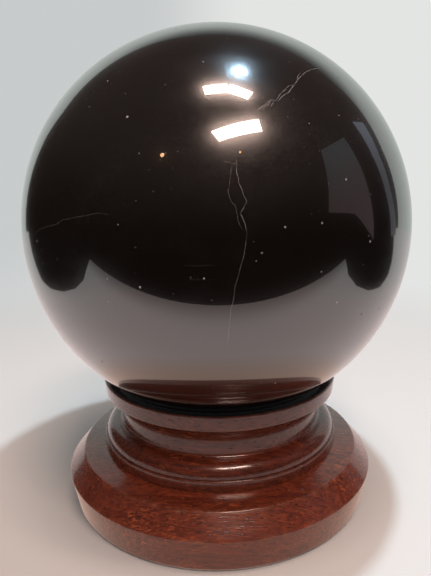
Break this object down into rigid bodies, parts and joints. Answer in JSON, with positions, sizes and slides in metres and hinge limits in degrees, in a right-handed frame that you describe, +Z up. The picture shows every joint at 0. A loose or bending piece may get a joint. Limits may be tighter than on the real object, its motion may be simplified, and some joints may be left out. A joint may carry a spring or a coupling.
{
  "type": "crystal ball",
  "caption": "Polished black stone ball resting in a felt ring in the dished cup of a turned, lacquered hardwood stand.",
  "frame": {"origin": "middle of the underside, on the surface that the stand rests on", "axes": "+Z up through the middle of the stand and the ball; the stand is round, so X and Y are free, and the wood's grain runs along X"},
  "size_m": [0.1, 0.1, 0.1249],
  "materials": {
    "black_stone": "mirror polished, near black and faintly warm, with pale hairline veins",
    "black_felt": "pressed wool felt, black",
    "cup_wood": "red-brown hardwood under a glossy clear lacquer",
    "plinth_wood": "red-brown hardwood under a glossy clear lacquer",
    "screw_brass": "satin",
    "pad_felt": "pressed wool felt, black"
  },
  "bodies": {
    "stand": {"cup": "cup_wood", "plinth": "plinth_wood", "base_screw": "screw_brass", "base_pad": "pad_felt"},
    "seat_ring": {"seat_ring": "black_felt"},
    "ball": {"ball": "black_stone"}
  },
  "joints": [
    {"name": "seat_turn", "type": "hinge", "parent": "stand", "child": "seat_ring", "pos_m": [0, 0, 0.0306], "axis": [0, 0, 1], "continuous": true},
    {"name": "ball_lift", "type": "slide", "parent": "seat_ring", "child": "ball", "axis": [0, 0, 1], "range_m": [0, 0.04]}
  ]
}
